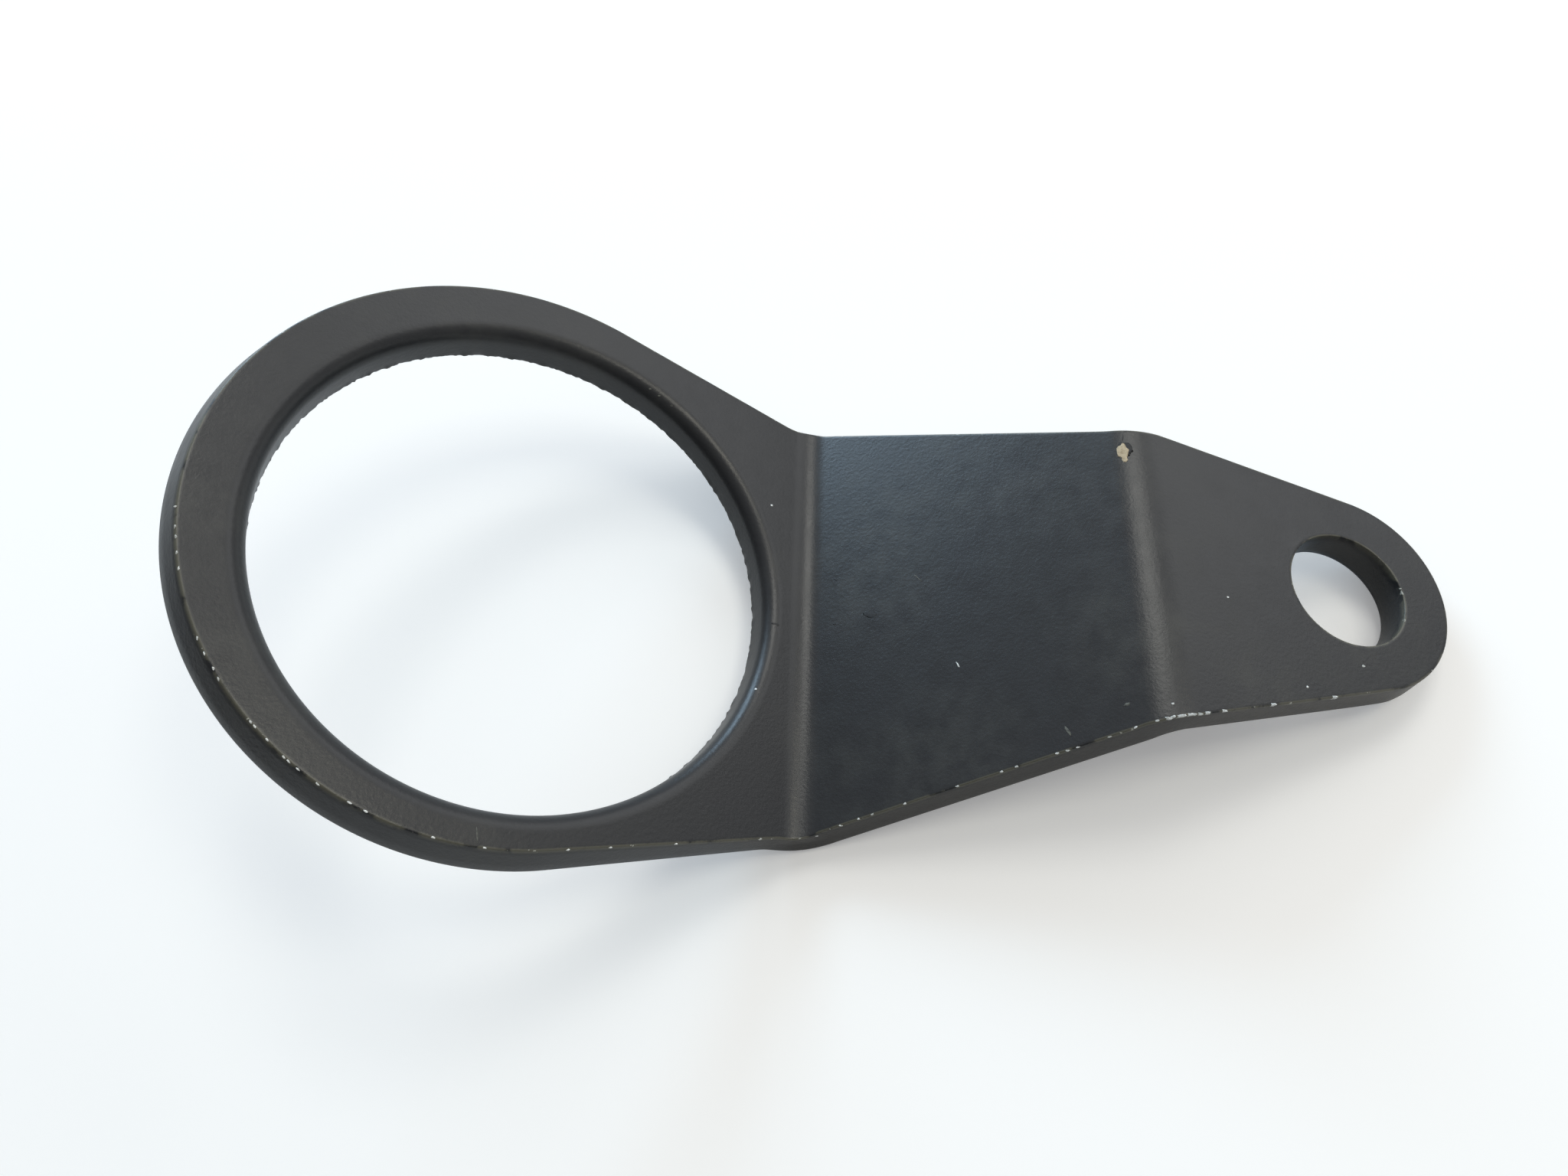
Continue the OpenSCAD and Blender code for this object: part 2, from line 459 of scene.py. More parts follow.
@dataclass
class FlatBlank:
    """Flat plate with its two holes, before it is folded."""

    size: PlateSize
    folds: FoldMap
    spacing: float = 0.5
    bore_spacing: float = 0.3
    weld: float = 0.005
    strips: int = 16
    strip_margin: float = 0.4
    burr: float = 0.17
    burr_reach: float = 0.5
    burr_scale: float = 1.9
    fine_scale: float = 5.3
    fine_share: float = 0.6
    swell: float = 0.62
    swell_reach: float = 3.8
    swell_middle: float = 0.55
    bm: bmesh.types.BMesh = field(default_factory=bmesh.new)

    def tangent(self, flank: FlankSize, start: Pair, centre: Vector, r: float,
                ahead: float) -> float:
        """Finds the slope of a straight flank that ends on an arc.

        Args:
            flank: The flank.
            start: Its start, along the blank and out from the middle line.
            centre: Centre of the arc.
            r: Radius of the arc.
            ahead: 1 if the arc lies ahead of the start, and -1 if behind.

        Returns:
            The slope in radians, falling towards the tab.
        """
        along = start[0] - centre.x
        aside = start[1] - flank.side * centre.y
        return math.atan2(along, aside) + ahead * math.acos(r / math.hypot(along, aside))

    def outline(self) -> None:
        """Sweeps the teardrop outline."""
        s, f = self.size, self.folds
        ring = Vector((-s.ring_back, s.ring_side, s.ring_lean))
        tab = Vector((f.tab_centre, 0.0, s.wall_lean))
        neck_x = f.start_1 - s.level
        tab_x = f.start_2 + f.second_zone + s.level
        flat = ((neck_x, "neck_ring", s.neck_lean),
                (f.start_1 + f.first_zone + s.level, "neck_web", s.wall_lean),
                (f.start_2 - s.level, "shoulder_web", s.wall_lean),
                (tab_x, "shoulder_tab", s.wall_lean))
        ring_left, ring_right = (
            self.tangent(k, (neck_x, k.neck_ring), ring, s.ring_r, -1.0) for k in (LEFT, RIGHT))
        tab_left, tab_right = (
            self.tangent(k, (tab_x, k.shoulder_tab), tab, s.tab_r, 1.0) for k in (LEFT, RIGHT))
        path = Contour(s, self.spacing)
        path.arc(ring, s.ring_r, SQUARE - ring_left, 2 * SQUARE + ring_left + ring_right)
        for x, name, lean in flat:
            path.line(Vector((x, -getattr(RIGHT, name), lean)))
        path.arc(tab, s.tab_r, tab_right - SQUARE, 2 * SQUARE - tab_left - tab_right)
        for x, name, lean in reversed(flat):
            path.line(Vector((x, getattr(LEFT, name), lean)))
        path.line(path.spots[0])
        path.spots.pop()
        path.smooth()
        self.sweep(EdgeProfile.outline(s), path.stations())

    def pierce(self, x: float, r: float, spacing: float, profile: EdgeProfile) -> None:
        """Sweeps the edge of a round hole.

        Args:
            x: Place of its axis along the blank.
            r: Radius.
            spacing: Distance between the stations.
            profile: Section of its edge.
        """
        steps = round(2 * math.pi * r / spacing)
        turns = [2 * math.pi * step / steps for step in range(steps)]
        spots = [Vector((x + r * math.cos(a), r * math.sin(a), 0.0)) for a in turns]
        self.sweep(profile, [Station.at(spot, a, self.size) for spot, a in zip(spots, turns)])

    def sweep(self, profile: EdgeProfile, stations: Sequence[Station]) -> None:
        """Draws a section through the stations and closes it on itself.

        Args:
            profile: Section to sweep.
            stations: Frames along the closed path.
        """
        layers = self.bm.verts.layers.float
        worn = layers.get(EDGE_WEAR) or layers.new(EDGE_WEAR)
        made = [self.bm.verts.new(stations[0].place(out, z)) for out, z in profile.points]
        edges = [self.bm.edges.new(pair) for pair in zip(made, made[1:])]
        for before, after in zip(stations, [*stations[1:], stations[0]]):
            grown = bmesh.ops.extrude_edge_only(self.bm, edges=edges)["geom"]
            edges = [item for item in grown if isinstance(item, bmesh.types.BMEdge)]
            for vert in (item for item in grown if isinstance(item, bmesh.types.BMVert)):
                out, z = before.section(vert.co)
                vert.co = after.place(out, z)
                vert[worn] = profile.wear(out, z)

    def fill(self, level: float = 1e-3) -> None:
        """Joins the sweeps into a closed plate.

        Args:
            level: How far from a face's height its rim may lie.
        """
        bmesh.ops.remove_doubles(self.bm, verts=self.bm.verts[:], dist=self.weld)
        for height in (0.0, self.size.thickness):
            rim = [e for e in self.bm.edges if e.is_boundary
                   and all(abs(v.co.z - height) < level for v in e.verts)]
            bmesh.ops.triangle_fill(self.bm, use_beauty=True, use_dissolve=False, edges=rim)

    def cut_folds(self, dist: float = 1e-5) -> None:
        """Cuts the fold zones into strips that can bend.

        Args:
            dist: How near to a cut an existing vertex is taken as lying on it.
        """
        f = self.folds
        cuts = []
        for start, length in ((f.start_1, f.first_zone), (f.start_2, f.second_zone)):
            cuts += [start + length * step / self.strips for step in range(self.strips + 1)]
            cuts += [start - self.strip_margin, start + length + self.strip_margin]
        for x in cuts:
            bm = self.bm
            bmesh.ops.bisect_plane(bm, geom=bm.verts[:] + bm.edges[:] + bm.faces[:], dist=dist,
                                   plane_co=(x, 0.0, 0.0), plane_no=(1.0, 0.0, 0.0))

    def tear(self, vert: bmesh.types.BMVert) -> None:
        """Breaks out the lower edge of the bore.

        Args:
            vert: Vertex that moves if it lies there.
        """
        r = math.hypot(vert.co.x, vert.co.y)
        if r < self.size.bore_r + self.burr_reach and vert.co.z < self.burr_reach:
            fine = self.fine_share * noise.noise(vert.co * self.fine_scale)
            ragged = noise.noise(vert.co * self.burr_scale) + fine
            reach = (1.0 - vert.co.z / self.burr_reach) * self.burr * ragged
            vert.co.x *= 1.0 + reach / r
            vert.co.y *= 1.0 + reach / r

    def bulge(self, vert: bmesh.types.BMVert) -> None:
        """Presses the flanks out beside the first fold.

        Args:
            vert: Vertex that moves if it lies there.
        """
        middle = self.folds.start_1 + self.folds.first_zone / 2
        away = abs(vert.co.x - middle) / self.swell_reach
        if away < 1.0 and abs(vert.co.y) > RIGHT.shoulder_web:
            bump = (1.0 - away * away) ** 2
            lift = vert.co.z / self.size.thickness - self.swell_middle
            vert.co.y += math.copysign(self.swell * bump * lift, vert.co.y)

    def make(self) -> bmesh.types.BMesh:
        """Builds the whole blank."""
        s = self.size
        self.outline()
        self.pierce(0.0, s.bore_r, self.bore_spacing, EdgeProfile.rolled_bore(s))
        self.pierce(self.folds.tab_centre, s.tab_hole_r, self.spacing, EdgeProfile.drilled_hole(s))
        self.fill()
        self.cut_folds()
        for vert in self.bm.verts:
            self.tear(vert)
            self.bulge(vert)
        bmesh.ops.recalc_face_normals(self.bm, faces=self.bm.faces[:])
        log.info("blank: %d faces, open edges %d", len(self.bm.faces),
                 sum(1 for e in self.bm.edges if not e.is_manifold))
        return self.bm


@dataclass(frozen=True)
class PhotoCamera:
    """Camera that took the photograph, set out from the plate's upper face."""

    place: Triple = (-20.5, -52.9, 95.8)
    right: Triple = (0.884, 0.033, 0.466)
    forward: Triple = (0.399, 0.467, -0.789)
    focal_px: float = 1413.5
    sensor_mm: float = 36.0
    clip_start: float = 0.005
    clip_end: float = 10.0

    def matrix(self, folds: FoldMap) -> Matrix:
        """Stands the camera beside the plate as it lies.

        Args:
            folds: Folds of the plate, which give its place on the ground.

        Returns:
            The camera's matrix in the row frame, in metres.
        """
        look = Vector(self.forward).normalized()
        side = (Vector(self.right) - look * look.dot(Vector(self.right))).normalized()
        turn = Matrix((side, side.cross(look), -look)).transposed().to_4x4()
        rest = folds.rest_matrix()
        spot = rest @ (Vector(self.place) + Vector((0.0, 0.0, folds.size.thickness)))
        return Matrix.Translation(spot) @ rest.to_quaternion().to_matrix().to_4x4() @ turn

    def ray(self, matrix: Matrix, pixel: Pixel) -> Vector:
        """Direction from the camera through a photo pixel.

        Args:
            matrix: The camera's matrix.
            pixel: The photo pixel.

        Returns:
            The direction, with a length of 1.
        """
        x = (pixel[0] - PHOTO_SIZE[0] / 2) / self.focal_px
        y = (PHOTO_SIZE[1] / 2 - pixel[1]) / self.focal_px
        return (matrix.to_3x3() @ Vector((x, y, -1.0))).normalized()

    def pixel(self, matrix: Matrix, point: Vector) -> Vector:
        """Photo pixel that shows a point.

        Args:
            matrix: The camera's matrix.
            point: The point, in metres.

        Returns:
            The pixel's two coordinates.
        """
        local = matrix.inverted() @ point
        return Vector((PHOTO_SIZE[0] / 2 - self.focal_px * local.x / local.z,
                       PHOTO_SIZE[1] / 2 + self.focal_px * local.y / local.z))

    def build(self, folds: FoldMap) -> bpy.types.Object:
        """Adds the camera to the scene.

        Args:
            folds: Folds of the plate.

        Returns:
            The camera.
        """
        data = bpy.data.cameras.new("photo_camera")
        data.sensor_width = self.sensor_mm
        data.lens = self.focal_px * self.sensor_mm / PHOTO_SIZE[0]
        data.clip_start = self.clip_start
        data.clip_end = self.clip_end
        camera = bpy.data.objects.new("photo_camera", data)
        camera.matrix_world = self.matrix(folds)
        bpy.context.collection.objects.link(camera)
        bpy.context.scene.camera = camera
        return camera


@dataclass(frozen=True)
class Grain:
    """Size of a noise pattern, in cells to the metre, and how fine it goes."""

    scale: float
    detail: float = 3.0
    rough: float = 0.6


# Sockets of a Mix node that are in use when it mixes colours
MIX_FACTOR, MIX_FIRST, MIX_SECOND, MIX_RESULT = 0, 6, 7, 2


class NodeSheet:
    """Small helper that adds and joins shader nodes."""

    def __init__(self, owner: bpy.types.ID) -> None:
        """Clears the node tree of a material or a world."""
        owner.use_nodes = True
        self.tree = owner.node_tree
        self.tree.nodes.clear()

    def add(self, kind: str, **values: object) -> bpy.types.Node:
        """Adds a node.

        Args:
            kind: Blender's name of the node's type.
            **values: Attributes of the node, such as its operation.

        Returns:
            The new node.
        """
        node = self.tree.nodes.new(kind)
        for name, value in values.items():
            setattr(node, name, value)
        return node

    def join(self, source: bpy.types.NodeSocket, target: bpy.types.NodeSocket) -> None:
        """Joins an output to an input."""
        self.tree.links.new(source, target)

    def feed(self, target: bpy.types.NodeSocket, value: object) -> None:
        """Sets an input.

        Args:
            target: The input.
            value: An output to join to it, or a plain value.
        """
        if isinstance(value, bpy.types.NodeSocket):
            self.join(value, target)
        else:
            target.default_value = value

    def maths(self, operation: str, *values: object) -> bpy.types.NodeSocket:
        """Adds a Math node.

        Args:
            operation: What it works out.
            *values: Its inputs in order, each an output or a number.

        Returns:
            Its output.
        """
        node = self.add("ShaderNodeMath", operation=operation)
        for socket, value in zip(node.inputs, values):
            self.feed(socket, value)
        return node.outputs[0]

    def mix(self, factor: object, first: object, second: object) -> bpy.types.NodeSocket:
        """Mixes two colours.

        Args:
            factor: Share of the second colour, an output or a number.
            first: First colour, an output or a plain value.
            second: Second colour.

        Returns:
            The mixed colour.
        """
        node = self.add("ShaderNodeMix", data_type="RGBA")
        self.feed(node.inputs[MIX_FACTOR], factor)
        self.feed(node.inputs[MIX_FIRST], first)
        self.feed(node.inputs[MIX_SECOND], second)
        return node.outputs[MIX_RESULT]

    def noise(self, coords: bpy.types.NodeSocket, grain: Grain) -> bpy.types.NodeSocket:
        """Adds a noise texture.

        Args:
            coords: Coordinates that it lies on.
            grain: Its size.

        Returns:
            Its level, about 0.5 on the whole.
        """
        node = self.add("ShaderNodeTexNoise")
        self.join(coords, node.inputs["Vector"])
        node.inputs["Scale"].default_value = grain.scale
        node.inputs["Detail"].default_value = grain.detail
        node.inputs["Roughness"].default_value = grain.rough
        return node.outputs["Fac"]

    def ramp(self, value: bpy.types.NodeSocket, span: Pair) -> bpy.types.NodeSocket:
        """Maps a span to 0 to 1, smoothly and clamped.

        Args:
            value: What is mapped.
            span: Value that becomes 0, and value that becomes 1.

        Returns:
            The mapped value.
        """
        node = self.add("ShaderNodeMapRange", interpolation_type="SMOOTHSTEP")
        self.join(value, node.inputs["Value"])
        node.inputs["From Min"].default_value, node.inputs["From Max"].default_value = span
        return node.outputs["Result"]

    def bump(self, height: bpy.types.NodeSocket, strength: float, depth: float,
             shader: bpy.types.Node) -> None:
        """Roughens a shader's surface.

        Args:
            height: Height of the surface, from 0 to 1.
            strength: How strongly it shows.
            depth: Height that 1 stands for, in metres.
            shader: The shader.
        """
        node = self.add("ShaderNodeBump")
        node.inputs["Strength"].default_value = strength
        node.inputs["Distance"].default_value = depth
        self.join(height, node.inputs["Height"])
        self.join(node.outputs["Normal"], shader.inputs["Normal"])

    def finish(self, shader: bpy.types.Node) -> None:
        """Joins a surface shader to the material's output."""
        out = self.add("ShaderNodeOutputMaterial")
        self.join(shader.outputs[0], out.inputs["Surface"])


@dataclass(frozen=True)
class SatinBlackPaint:
    """Satin black paint over steel, dusty and rubbed thin along its sharp edges.

    Each pair of numbers is the span of a noise level, or of the wear times
    such a level, over which its layer comes in.
    """

    name: str = "paint"
    paint: Colour = (0.016, 0.017, 0.019, 1.0)
    dusty: Colour = (0.050, 0.051, 0.046, 1.0)
    rubbed: Colour = (0.098, 0.096, 0.074, 1.0)
    bare: Colour = (0.40, 0.41, 0.37, 1.0)
    grain: Grain = Grain(2600.0, 2.0)
    cloud: Grain = Grain(55.0, rough=0.55)
    blotch: Grain = Grain(420.0, 4.0)
    flake: Grain = Grain(900.0, rough=0.65)
    dust_clouds: Pair = (0.40, 0.72)
    dust_blotches: Pair = (0.25, 0.75)
    dust_share: float = 0.5
    thin_blotches: Pair = (0.28, 0.52)
    thin_wear: Pair = (0.25, 0.95)
    bare_flakes: Pair = (0.60, 0.68)
    bare_wear: Pair = (0.55, 0.85)
    roughness: float = 0.25
    roughness_spread: float = 0.16
    bump_strength: float = 0.35
    bump_depth: float = 0.06 * MM

    def tone(self, sheet: NodeSheet, coords: bpy.types.NodeSocket,
             blotch: bpy.types.NodeSocket) -> bpy.types.NodeSocket:
        """Lays dust, rubbed paint and bare steel over the paint.

        Args:
            sheet: The material's nodes.
            coords: Coordinates of the noise.
            blotch: Level of the blotches.

        Returns:
            The colour.
        """
        cloud = sheet.ramp(sheet.noise(coords, self.cloud), self.dust_clouds)
        dust = sheet.maths("MULTIPLY", cloud, sheet.ramp(blotch, self.dust_blotches))
        tone = sheet.mix(sheet.maths("MULTIPLY", dust, self.dust_share), self.paint, self.dusty)
        worn = sheet.add("ShaderNodeAttribute", attribute_name=EDGE_WEAR).outputs["Fac"]
        thin = sheet.maths("MULTIPLY", worn, sheet.ramp(blotch, self.thin_blotches))
        tone = sheet.mix(sheet.ramp(thin, self.thin_wear), tone, self.rubbed)
        flake = sheet.ramp(sheet.noise(coords, self.flake), self.bare_flakes)
        through = sheet.maths("MULTIPLY", worn, flake)
        return sheet.mix(sheet.ramp(through, self.bare_wear), tone, self.bare)

    def build(self) -> bpy.types.Material:
        """Makes the material."""
        material = bpy.data.materials.new(self.name)
        sheet = NodeSheet(material)
        coords = sheet.add("ShaderNodeTexCoord").outputs["Object"]
        blotch = sheet.noise(coords, self.blotch)
        shader = sheet.add("ShaderNodeBsdfPrincipled")
        sheet.join(self.tone(sheet, coords, blotch), shader.inputs["Base Color"])
        rough = sheet.maths("MULTIPLY_ADD", blotch, self.roughness_spread, self.roughness)
        sheet.join(rough, shader.inputs["Roughness"])
        sheet.bump(sheet.noise(coords, self.grain), self.bump_strength, self.bump_depth, shader)
        sheet.finish(shader)
        return material


@dataclass(frozen=True)
class MarkFinish:
    """Speckled finish of one kind of mark in the paint, and how far it stands out in mm."""

    name: str
    colour: Colour
    speckle: Colour
    roughness: float
    metallic: float = 0.0
    stand: float = 0.022
    grain: Grain = Grain(3500.0)
    speckles: Pair = (0.45, 0.65)
    bump_strength: float = 0.4
    bump_depth: float = 0.04 * MM

    def build(self) -> bpy.types.Material:
        """Makes the material."""
        material = bpy.data.materials.new(self.name)
        sheet = NodeSheet(material)
        grain = sheet.noise(sheet.add("ShaderNodeTexCoord").outputs["Object"], self.grain)
        shader = sheet.add("ShaderNodeBsdfPrincipled")
        tone = sheet.mix(sheet.ramp(grain, self.speckles), self.colour, self.speckle)
        sheet.join(tone, shader.inputs["Base Color"])
        shader.inputs["Roughness"].default_value = self.roughness
        shader.inputs["Metallic"].default_value = self.metallic
        sheet.bump(grain, self.bump_strength, self.bump_depth, shader)
        sheet.finish(shader)
        return material


class MarkKind(Enum):
    """What shows in a small mark in the paint."""

    STEEL = MarkFinish("bare_steel", colour=(0.80, 0.83, 0.82, 1.0),
                       speckle=(0.42, 0.44, 0.42, 1.0), roughness=0.45, metallic=0.2)
    PRIMER = MarkFinish("tan_primer", colour=(0.53, 0.44, 0.30, 1.0),
                        speckle=(0.38, 0.30, 0.19, 1.0), roughness=0.75, stand=0.028)
    DUST = MarkFinish("pale_dust", colour=(0.13, 0.135, 0.12, 1.0),
                      speckle=(0.06, 0.06, 0.055, 1.0), roughness=0.85)
    CRACK = MarkFinish("dark_crack", colour=(0.008, 0.008, 0.009, 1.0),
                       speckle=(0.014, 0.014, 0.014, 1.0), roughness=0.6, stand=0.012)


@dataclass(frozen=True)
class Mark:
    """One mark, placed by the photo pixel that shows it. Sizes are in mm, its turn in degrees."""

    kind: MarkKind
    pixel: Pixel
    length: float
    width: float
    turn: float = 0.0


FACE_MARKS = (
    Mark(MarkKind.CRACK, (1470.0, 586.0), 1.80, 1.20, 50.0),
    Mark(MarkKind.PRIMER, (1466.0, 589.0), 1.75, 1.15, 80.0),
    Mark(MarkKind.PRIMER, (1469.0, 599.5), 0.80, 0.50, 75.0),
    Mark(MarkKind.CRACK, (1466.5, 572.0), 0.80, 0.12, 95.0),
    Mark(MarkKind.STEEL, (1008.0, 660.0), 0.34, 0.24),
    Mark(MarkKind.STEEL, (987.0, 900.0), 0.28, 0.22),
    Mark(MarkKind.STEEL, (1781.0, 870.0), 0.30, 0.24),
    Mark(MarkKind.STEEL, (1708.0, 897.0), 0.26, 0.22),
    Mark(MarkKind.STEEL, (1604.0, 780.0), 0.22, 0.18),
    Mark(MarkKind.STEEL, (1532.0, 919.0), 0.24, 0.18),
    Mark(MarkKind.STEEL, (1067.0, 1092.0), 0.36, 0.22),
    Mark(MarkKind.DUST, (1472.0, 920.0), 0.60, 0.28, -20.0),
    Mark(MarkKind.DUST, (1395.0, 955.0), 1.10, 0.26, 55.0),
    Mark(MarkKind.DUST, (623.0, 1091.0), 1.50, 0.14, 88.0),
    Mark(MarkKind.STEEL, (1251.0, 868.0), 0.70, 0.16, 60.0),
    Mark(MarkKind.DUST, (1199.0, 755.0), 1.40, 0.12, 40.0),
    Mark(MarkKind.CRACK, (1013.0, 815.0), 0.85, 0.22, 15.0),
    Mark(MarkKind.CRACK, (1136.0, 803.0), 1.50, 0.60, 10.0),
    Mark(MarkKind.CRACK, (1091.0, 757.0), 0.45, 0.22, 30.0),
    Mark(MarkKind.CRACK, (1090.0, 815.0), 0.40, 0.20, -20.0),
    Mark(MarkKind.DUST, (849.0, 508.0), 0.30, 0.22),
    Mark(MarkKind.DUST, (861.0, 517.0), 0.30, 0.20),
    Mark(MarkKind.DUST, (877.0, 530.0), 0.30, 0.20),
)

# Photo pixels of the flecks along the sharp edge of the ring, the web and the tab
RING_EDGE: Tuple[Pixel, ...] = (
    (229, 660), (229, 690), (230, 702), (231, 722), (233, 742), (256, 832), (268, 855),
    (279, 874), (285, 886), (326, 941), (335, 951), (348, 966), (371, 989), (380, 997),
    (389, 1004), (414, 1023), (455, 1047), (480, 1061), (566, 1092), (636, 1106),
    (743, 1110), (797, 1110), (882, 1106), (991, 1098),
)
WEB_EDGE: Tuple[Pixel, ...] = (
    (1097, 1079), (1122, 1068), (1140, 1060), (1181, 1044), (1252, 1025), (1308, 1007),
    (1326, 1002), (1384, 983), (1396, 981), (1410, 976), (1451, 963), (1480, 946), (1509, 940),
)
TAB_EDGE: Tuple[Pixel, ...] = (
    (1523, 934), (1531, 930), (1538, 928), (1545, 927), (1552, 926), (1559, 926), (1566, 926),
    (1574, 925), (1582, 925), (1628, 925), (1668, 920), (1682, 918), (1693, 918), (1725, 914),
    (1737, 911), (1762, 909),
)


def link(name: str, bm: bmesh.types.BMesh, material: bpy.types.Material) -> bpy.types.Object:
    """Puts a smooth-shaded mesh in the scene.

    Args:
        name: Name of the object and its mesh.
        bm: The mesh, which is freed.
        material: Its material.

    Returns:
        The object.
    """
    mesh = bpy.data.meshes.new(name)
    bm.to_mesh(mesh)
    bm.free()
    mesh.polygons.foreach_set("use_smooth", [True] * len(mesh.polygons))
    mesh.materials.append(material)
    piece = bpy.data.objects.new(name, mesh)
    bpy.context.collection.objects.link(piece)
    return piece


@dataclass
class WornMarks:
    """Chips, specks and scratches, each a thin flake set into the paint."""

    plate: BVHTree
    sharp_edge: List[Vector]
    camera: PhotoCamera
    view: Matrix
    edge_fleck: Pair = (0.40, 0.17)
    bright_fleck: Pair = (0.74, 0.25)
    flake_rounds: int = 3
    ragged: float = 0.4
    ragged_scale: float = 1.7
    seed_step: Pair = (0.37, 0.23)

    def spot(self, pixel: Pixel) -> Tuple[Vector, Vector]:
        """Finds what a photo pixel shows.

        Args:
            pixel: The photo pixel.

        Returns:
            The place on the plate and the direction out of its face.
        """
        start = self.view.translation
        place, out, _, _ = self.plate.ray_cast(start, self.camera.ray(self.view, pixel))
        return (place, out) if place is not None else self.edge_spot(pixel)

    def edge_spot(self, pixel: Pixel) -> Tuple[Vector, Vector]:
        """Finds the place on the sharp edge that is nearest to a photo pixel.

        Args:
            pixel: The photo pixel.

        Returns:
            The place on the edge and the direction from it to the camera.
        """
        aim = Vector(pixel)
        place = min(self.sharp_edge,
                    key=lambda point: (self.camera.pixel(self.view, point) - aim).length)
        return place, (self.view.translation - place).normalized()

    def meet(self, pixel: Pixel, spot: Tuple[Vector, Vector]) -> Vector:
        """Finds where a photo pixel meets the plane of a spot.

        Args:
            pixel: The photo pixel.
            spot: A place, and the direction out of its face.

        Returns:
            The point in the plane.
        """
        place, out = spot
        eye = self.view.translation
        ray = self.camera.ray(self.view, pixel)
        return eye + ray * ((place - eye).dot(out) / ray.dot(out))

    def flake(self, bm: bmesh.types.BMesh, mark: Mark, spot: Tuple[Vector, Vector]) -> None:
        """Sets one flake on its place.

        Args:
            bm: Mesh that takes the flake.
            mark: The mark.
            spot: Its place, and the direction out of the face.
        """
        place, out = spot
        across, down = mark.pixel
        turn = math.radians(mark.turn)
        beside = self.meet((across + math.cos(turn), down + math.sin(turn)), spot)
        along = (beside - self.meet(mark.pixel, spot)).normalized()
        turned = Matrix((along, out.cross(along), out)).transposed().to_4x4()
        made = bmesh.ops.create_icosphere(bm, subdivisions=self.flake_rounds, radius=1.0)["verts"]
        size = Vector((mark.length / 2, mark.width / 2, mark.kind.value.stand))
        seed = Vector((across * self.seed_step[0], down * self.seed_step[1], 0.0))
        for vert in made:
            ragged = 1.0 + self.ragged * noise.noise(seed + vert.co * self.ragged_scale)
            vert.co = Vector((vert.co.x * ragged, vert.co.y * ragged, vert.co.z)) * size
        matrix = Matrix.Translation(place) @ turned @ Matrix.Scale(MM, 4)
        bmesh.ops.transform(bm, matrix=matrix, verts=made)

    def edge_marks(self) -> List[Mark]:
        """Sets out flecks along the sharp edges.

        Returns:
            Marks of bare steel, each in line with its neighbour.
        """
        found = []
        for line in (RING_EDGE, WEB_EDGE, TAB_EDGE):
            length, width = self.bright_fleck if line is TAB_EDGE else self.edge_fleck
            for before, pixel in zip(line[:1] + line, line):
                way = Vector(pixel) - Vector(before)
                turn = math.degrees(math.atan2(way.y, way.x))
                found.append(Mark(MarkKind.STEEL, pixel, length, width, turn))
        return found

    def build(self) -> List[bpy.types.Object]:
        """Makes one piece for each kind of mark.

        Returns:
            The pieces.
        """
        pieces = []
        placed = [(mark, self.spot(mark.pixel)) for mark in FACE_MARKS]
        placed += [(mark, self.edge_spot(mark.pixel)) for mark in self.edge_marks()]
        for kind in MarkKind:
            bm = bmesh.new()
            for mark, spot in placed:
                if mark.kind is kind:
                    self.flake(bm, mark, spot)
            piece = link("marks_" + kind.value.name, bm, kind.value.build())
            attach(piece, "root")
            pieces.append(piece)
        return pieces


@dataclass
class Bracket:
    """The visual model of the plate."""

    size: PlateSize
    folds: FoldMap
    finish: SatinBlackPaint
    camera: PhotoCamera
    sharp_wear: float = 0.9

    def build(self) -> List[bpy.types.Object]:
        """Makes the plate with its marks and puts it in the CAD node's place.

        Returns:
            The pieces, the plate last.
        """
        bm = FlatBlank(self.size, self.folds).make()
        self.folds.fold(bm)
        bmesh.ops.transform(bm, matrix=self.folds.rest_matrix(), verts=bm.verts[:])
        worn = bm.verts.layers.float[EDGE_WEAR]
        sharp = [vert.co.copy() for vert in bm.verts if vert[worn] > self.sharp_wear]
        view = self.camera.matrix(self.folds)
        marks = WornMarks(BVHTree.FromBMesh(bm), sharp, self.camera, view).build()
        piece = link("bracket_plate", bm, self.finish.build())
        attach(piece, "root")
        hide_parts("bracket")
        return [*marks, piece]


@dataclass(frozen=True)
class Softbox:
    """Soft area light aimed at the object, placed by its direction from it, in degrees."""

    name: str
    azimuth: float
    elevation: float
    size: Pair
    radiance: float
    colour: Triple
    distance: float = 1.0
    target: Triple = (0.03, 0.0, 0.0)

    @property
    def power(self) -> float:
        """Power in watts that gives the light its radiance."""
        return self.radiance * math.pi * self.size[0] * self.size[1]

    def build(self) -> bpy.types.Object:
        """Adds the light to the scene.

        Returns:
            The light.
        """
        data = bpy.data.lights.new(self.name, "AREA")
        data.shape = "RECTANGLE"
        data.size, data.size_y = self.size
        data.energy = self.power
        data.color = self.colour
        lamp = bpy.data.objects.new(self.name, data)
        turn, rise = math.radians(self.azimuth), math.radians(self.elevation)
        level = math.cos(rise)
        away = Vector((level * math.cos(turn), level * math.sin(turn), math.sin(rise)))
        place = Matrix.Translation(Vector(self.target) + self.distance * away)
        lamp.matrix_world = place @ (-away).to_track_quat("-Z", "Y").to_matrix().to_4x4()
        bpy.context.collection.objects.link(lamp)
        return lamp


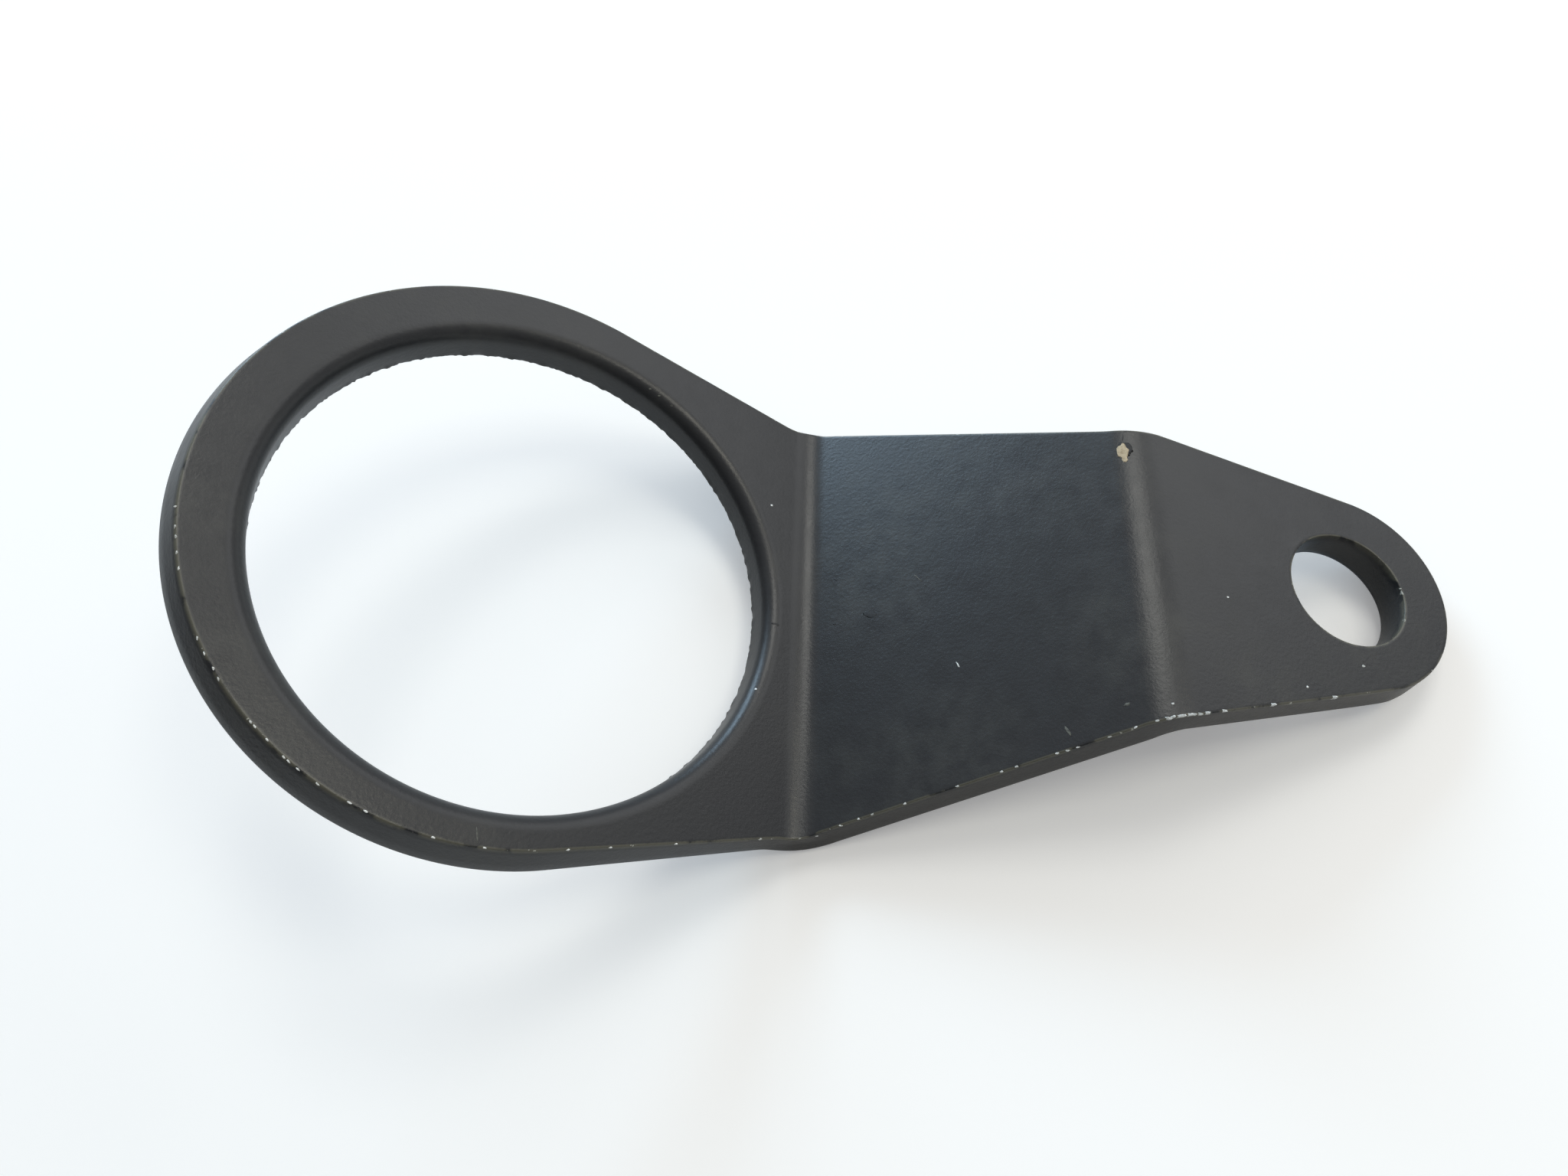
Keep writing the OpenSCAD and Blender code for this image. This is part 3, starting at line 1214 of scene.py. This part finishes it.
LIGHTS = (
    Softbox("key", 8.0, 60.0, (0.32, 0.30), 5.5, (1.0, 0.97, 0.84)),
    Softbox("fill", 50.0, 31.0, (0.90, 0.42), 1.25, (0.97, 0.99, 1.0)),
    Softbox("overhead", 76.0, 60.0, (0.34, 0.32), 4.8, (1.0, 0.99, 0.93)),
    Softbox("window", 119.0, 25.0, (0.50, 0.38), 8.8, (0.56, 0.79, 1.0)),
)


@dataclass
class Studio:
    """Pale floor, soft light and a plain surround."""

    floor_z: float
    floor_size: float = 3.0
    floor_colour: Colour = (0.86, 0.86, 0.85, 1.0)
    floor_roughness: float = 0.9
    floor_glow: float = 0.24
    glow_colour: Colour = (1.0, 1.0, 1.0, 1.0)
    surround: Colour = (0.97, 0.98, 1.0, 1.0)
    dim: float = 0.10
    dim_until: float = -0.4
    bright: float = 0.62
    bright_side: Triple = (0.45, 0.70, 0.55)

    def floor_material(self) -> bpy.types.Material:
        """Makes the floor's material, a little brighter to the camera than its light makes it.

        Returns:
            The material.
        """
        material = bpy.data.materials.new("floor")
        sheet = NodeSheet(material)
        shader = sheet.add("ShaderNodeBsdfPrincipled")
        shader.inputs["Base Color"].default_value = self.floor_colour
        shader.inputs["Roughness"].default_value = self.floor_roughness
        shader.inputs["Emission Color"].default_value = self.glow_colour
        seen = sheet.add("ShaderNodeLightPath").outputs["Is Camera Ray"]
        glow = sheet.maths("MULTIPLY", seen, self.floor_glow)
        sheet.join(glow, shader.inputs["Emission Strength"])
        sheet.finish(shader)
        return material

    def floor(self) -> bpy.types.Object:
        """Adds the floor.

        Returns:
            The floor.
        """
        bm = bmesh.new()
        bmesh.ops.create_grid(bm, x_segments=1, y_segments=1, size=self.floor_size)
        bmesh.ops.translate(bm, vec=(0.0, 0.0, self.floor_z), verts=bm.verts[:])
        floor = link("floor", bm, self.floor_material())
        floor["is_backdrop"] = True
        return floor

    def world(self) -> None:
        """Sets the surround: brighter on one side, and white to the camera."""
        world = bpy.data.worlds.new("surround")
        bpy.context.scene.world = world
        sheet = NodeSheet(world)
        facing = sheet.add("ShaderNodeVectorMath", operation="DOT_PRODUCT")
        sheet.join(sheet.add("ShaderNodeTexCoord").outputs["Generated"], facing.inputs[0])
        facing.inputs[1].default_value = Vector(self.bright_side).normalized()
        level = sheet.add("ShaderNodeMapRange")
        sheet.join(facing.outputs["Value"], level.inputs["Value"])
        level.inputs["From Min"].default_value = self.dim_until
        level.inputs["To Min"].default_value = self.dim
        level.inputs["To Max"].default_value = self.bright
        seen = sheet.add("ShaderNodeLightPath").outputs["Is Camera Ray"]
        back = sheet.add("ShaderNodeBackground")
        back.inputs["Color"].default_value = self.surround
        strength = sheet.maths("MAXIMUM", level.outputs["Result"], seen)
        sheet.join(strength, back.inputs["Strength"])
        out = sheet.add("ShaderNodeOutputWorld")
        sheet.join(back.outputs[0], out.inputs["Surface"])

    def build(self) -> None:
        """Adds the floor, the surround and the lights."""
        self.floor()
        self.world()
        for light in LIGHTS:
            light.build()


def corners(box: Iterable[Iterable[float]]) -> List[List[float]]:
    """Turns a box into plain lists of numbers."""
    return [[float(n) for n in corner] for corner in box]


def main() -> None:
    """Builds the scene in order."""
    logging.basicConfig(level=logging.INFO, format="%(name)s: %(message)s")
    bpy.context.scene.view_settings.view_transform = "Standard"
    cad_box = corners(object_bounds())
    size = PlateSize()
    folds = FoldMap(size)
    camera = PhotoCamera()
    camera.build(folds)
    for piece in Bracket(size, folds, SatinBlackPaint(), camera).build():
        log.info("%s: %d faces", piece.name, len(piece.data.polygons))
    Studio(cad_box[0][2]).build()


if __name__ == "__main__":
    main()
